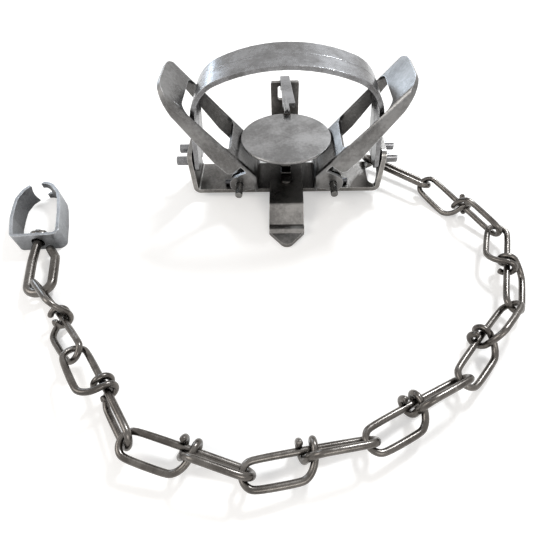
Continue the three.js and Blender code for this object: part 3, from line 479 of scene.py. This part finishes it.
def spring_route(hand):
    """The wire's middle line about its pin: base leg, turns, lever leg."""
    first = -math.pi / 2
    last = math.pi / 2 + LEVER_RISE - 2 * math.pi * (SPRING_TURNS + 1)
    count = round((first - last) / (2 * math.pi) * SPRING_STEPS)
    leg_height = PLATE_THICKNESS + SEAT_GAP + SPRING_WIRE / 2 - PIN_HEIGHT
    route = [
        (BASE_LEG, -SPRING_HALF, leg_height),
        (BASE_LEG - SPRING_WIRE, -SPRING_HALF, leg_height),
    ]
    for step in range(count + 1):
        share = step / count
        turn = first + (last - first) * share
        route.append((
            SPRING_MEAN * math.cos(turn),
            SPRING_HALF * (2 * share - 1),
            SPRING_MEAN * math.sin(turn),
        ))
    for along in (LEVER_LEG - SPRING_WIRE, LEVER_LEG):
        route.append((
            along * math.cos(LEVER_RISE) - LEVER_LIFT * math.sin(LEVER_RISE),
            SPRING_HALF,
            along * math.sin(LEVER_RISE) + LEVER_LIFT * math.cos(LEVER_RISE),
        ))
    return [Vector((hand * (PIN_PLACE + x), y, PIN_HEIGHT + z)) * MM for x, y, z in route]


def wound_wire(name, route, wire):
    """A round wire along a route, as a mesh."""
    bpy.ops.object.select_all(action="DESELECT")
    line = bpy.data.curves.new(name, "CURVE")
    line.dimensions = "3D"
    path = line.splines.new("POLY")
    path.points.add(len(route) - 1)
    for point, place in zip(path.points, route):
        point.co = (*place, 1.0)
    line.bevel_depth = wire / 2 * MM
    line.bevel_resolution = WIRE_ROUNDNESS
    line.use_fill_caps = True
    piece = bpy.data.objects.new(name, line)
    bpy.context.scene.collection.objects.link(piece)
    select_only(piece)
    bpy.ops.object.convert(target="MESH")
    edit(piece)
    bpy.ops.mesh.remove_doubles(threshold=JOIN_DISTANCE)
    bpy.ops.mesh.normals_make_consistent(inside=False)
    close_edit()
    bpy.ops.object.shade_smooth_by_angle(angle=WIRE_END_ANGLE)
    return piece


for side, hand in (("left", -1), ("right", 1)):
    spring = wound_wire(f"spring_{side}", spring_route(hand), SPRING_WIRE)
    spring.data.materials.append(DARK_STEEL)
    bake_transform(spring)
    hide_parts(f"coil_spring_{side}")


# ---------------------------------------------------------------- floor, light and camera

def stage_floor():
    """A pale floor: white to the camera, with the object's shadow, and plain white far off."""
    bpy.ops.object.select_all(action="DESELECT")
    bpy.ops.mesh.primitive_plane_add(size=FLOOR_SIZE, location=(0, 0, FLOOR_HEIGHT - FLOOR_GAP))
    floor = bpy.context.object
    floor.name = "floor"
    finish = Finish("floor_white")
    paint = finish.add("ShaderNodeBsdfDiffuse", None, {"Color": FLOOR_PAINT})
    glow = finish.add("ShaderNodeEmission", None, {"Color": WHITE, "Strength": FLOOR_GLOW})
    near = finish.add("ShaderNodeAddShader", None, {0: paint, 1: glow})
    plain = finish.add("ShaderNodeEmission", None, {"Color": WHITE, "Strength": 1.0})
    distance = finish.add(
        "ShaderNodeVectorMath", {"operation": "LENGTH"}, {0: finish.place}, "Value")
    far = distance.ramp(low=FLOOR_FADE_START, high=FLOOR_FADE_END)
    seen = finish.add("ShaderNodeMixShader", None, {0: far, 1: near, 2: plain})
    shown = finish.either(finish.ray("Camera"), finish.ray("Glossy"))
    shown = finish.either(shown, finish.ray("Transmission"))
    surface = finish.add("ShaderNodeMixShader", None, {0: shown, 1: paint, 2: seen})
    finish.end("ShaderNodeOutputMaterial", surface)
    floor.data.materials.append(finish.material)


def light_room():
    """The world: white behind the object, and a plain soft light on it."""
    world = bpy.data.worlds.new("studio")
    bpy.context.scene.world = world
    world.use_nodes = True
    sky = Builder(world.node_tree)
    shown = sky.either(sky.ray("Camera"), sky.ray("Transmission"))
    shown = sky.either(shown, sky.ray("Glossy"))
    soft = sky.add(
        "ShaderNodeBackground", None, {"Color": SKY_COLOUR, "Strength": SKY_STRENGTH})
    plain = sky.add("ShaderNodeBackground", None, {"Color": WHITE, "Strength": 1.0})
    mix = sky.add("ShaderNodeMixShader", None, {0: shown, 1: soft, 2: plain})
    sky.end("ShaderNodeOutputWorld", mix)


def lamp(name, place, target, size, power, colour):
    """A rectangular lamp at a place, turned to a target; power in watts."""
    light = bpy.data.lights.new(name, "AREA")
    light.shape = "RECTANGLE"
    light.size, light.size_y = size
    light.energy = power
    light.color = colour
    holder = bpy.data.objects.new(name, light)
    bpy.context.scene.collection.objects.link(holder)
    holder.location = place
    aim = Vector(target) - Vector(place)
    holder.rotation_euler = aim.to_track_quat("-Z", "Y").to_euler()


def place_camera():
    """The photographer's camera, with its middle where the photograph has it."""
    across = Vector((math.cos(CAMERA_YAW), -math.sin(CAMERA_YAW), 0))
    ahead = Vector((
        math.sin(CAMERA_YAW) * math.cos(CAMERA_DOWN),
        math.cos(CAMERA_YAW) * math.cos(CAMERA_DOWN),
        -math.sin(CAMERA_DOWN),
    ))
    up = across.cross(ahead)
    right = across * math.cos(CAMERA_ROLL) + up * math.sin(CAMERA_ROLL)
    top = up * math.cos(CAMERA_ROLL) - across * math.sin(CAMERA_ROLL)
    data = bpy.data.cameras.new("camera")
    data.sensor_width = SENSOR_WIDTH
    data.lens = FOCAL_PIXELS / PHOTO_SIDE * SENSOR_WIDTH
    data.shift_x = (PHOTO_SIDE / 2 - VIEW_MIDDLE[0]) / PHOTO_SIDE
    data.shift_y = (VIEW_MIDDLE[1] - PHOTO_SIDE / 2) / PHOTO_SIDE
    data.clip_start = CAMERA_NEAR
    data.clip_end = CAMERA_FAR
    camera = bpy.data.objects.new("camera", data)
    bpy.context.scene.collection.objects.link(camera)
    turn = Matrix((right, top, -ahead)).transposed().to_4x4()
    camera.matrix_world = Matrix.Translation(CAMERA_PLACE) @ turn
    bpy.context.scene.camera = camera


stage_floor()
light_room()
lamp(
    "key_light", place=(0.42, 0.62, 0.8), target=(0, 0, 0),
    size=(0.2, 0.2), power=10.5, colour=(0.9, 0.95, 1.0))
lamp(
    "fill_light", place=(-0.7, -0.2, 0.6), target=(0, -0.05, 0),
    size=(0.5, 0.4), power=2.6, colour=(1.0, 0.98, 0.95))
lamp(
    "front_light", place=(0.3, -0.8, 0.7), target=(0, -0.05, 0),
    size=(0.5, 0.35), power=2.2, colour=(1.0, 0.99, 0.97))
lamp(
    "window_light", place=(-0.66, 0.85, 0.26), target=(0, 0, 0.04),
    size=(0.4, 0.26), power=2.4, colour=(0.72, 0.85, 1.0))
place_camera()
bpy.context.scene.view_settings.view_transform = "Standard"
